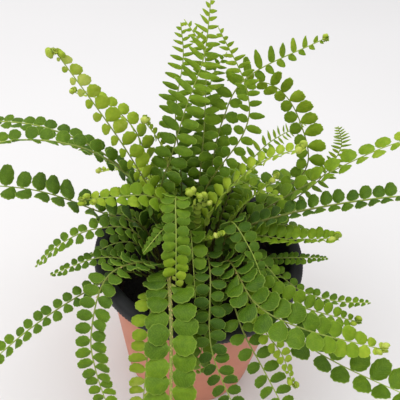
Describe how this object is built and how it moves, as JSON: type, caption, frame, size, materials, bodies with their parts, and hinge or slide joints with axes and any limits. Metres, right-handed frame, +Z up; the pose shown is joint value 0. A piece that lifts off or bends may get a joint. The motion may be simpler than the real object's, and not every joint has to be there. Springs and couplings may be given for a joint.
{
  "type": "potted duffii fern",
  "caption": "Young fern with a tuft of arching fronds, each set with two rows of small round leaflets, growing in soil in a tapered nursery pot with a turned-over rim.",
  "frame": {"origin": "centre of the pot's flat base", "axes": "+Z up along the pot's axis, -Y towards the side that the picture was taken from, +X to the right seen from there"},
  "size_m": [0.2789, 0.203, 0.2415],
  "materials": {
    "pot": "satin",
    "soil": "matte",
    "leaf_dark": "satin",
    "leaf_mid": "satin",
    "leaf_young": "satin"
  },
  "bodies": {
    "root": {"pot": "pot", "soil": "soil", "frond_front_big": "leaf_dark", "frond_front_curled": "leaf_mid", "frond_front_right_big": "leaf_mid", "frond_left_high": "leaf_dark", "frond_left_second": "leaf_dark", "frond_left_middle": "leaf_dark", "frond_right_long": "leaf_dark", "frond_right_front_dark": "leaf_dark", "frond_upright_tall": "leaf_dark", "frond_upright_right": "leaf_dark", "frond_right_curving": "leaf_mid", "frond_upright_bent": "leaf_mid", "frond_upright_left": "leaf_dark", "frond_upright_middle": "leaf_dark", "frond_upright_behind": "leaf_dark", "frond_left_front_long": "leaf_dark", "frond_left_front_low": "leaf_mid", "frond_left_young_tall": "leaf_young", "frond_left_young_back": "leaf_young", "frond_left_young_short": "leaf_young", "frond_left_young_near": "leaf_young", "frond_left_low": "leaf_mid", "frond_left_low_short": "leaf_mid", "frond_front_left_light": "leaf_young", "frond_front_left_tip": "leaf_mid", "frond_crozier_front": "leaf_young", "frond_crozier_left": "leaf_young", "frond_front_centre": "leaf_mid", "frond_front_inner": "leaf_dark", "frond_front_right": "leaf_dark", "frond_front_right_young": "leaf_young", "frond_front_right_yellow": "leaf_young", "frond_right_small_dark": "leaf_dark", "frond_right_low": "leaf_dark", "frond_right_curled": "leaf_young", "frond_right_young": "leaf_young", "frond_right_light": "leaf_young", "frond_right_thin": "leaf_young", "frond_right_inner": "leaf_mid", "frond_centre_right": "leaf_mid", "frond_right_behind": "leaf_mid", "frond_right_back_small": "leaf_mid", "frond_left_inner": "leaf_mid", "frond_left_inner_back": "leaf_dark", "frond_left_inner_near": "leaf_dark", "frond_right_inner_low": "leaf_dark", "frond_right_inner_back": "leaf_mid", "frond_centre_low": "leaf_mid", "frond_front_lower": "leaf_dark", "frond_back_right": "leaf_dark", "frond_back_far_right": "leaf_dark", "frond_back_middle": "leaf_dark", "frond_back_left": "leaf_dark", "frond_back_far_left": "leaf_young"}
  },
  "joints": []
}
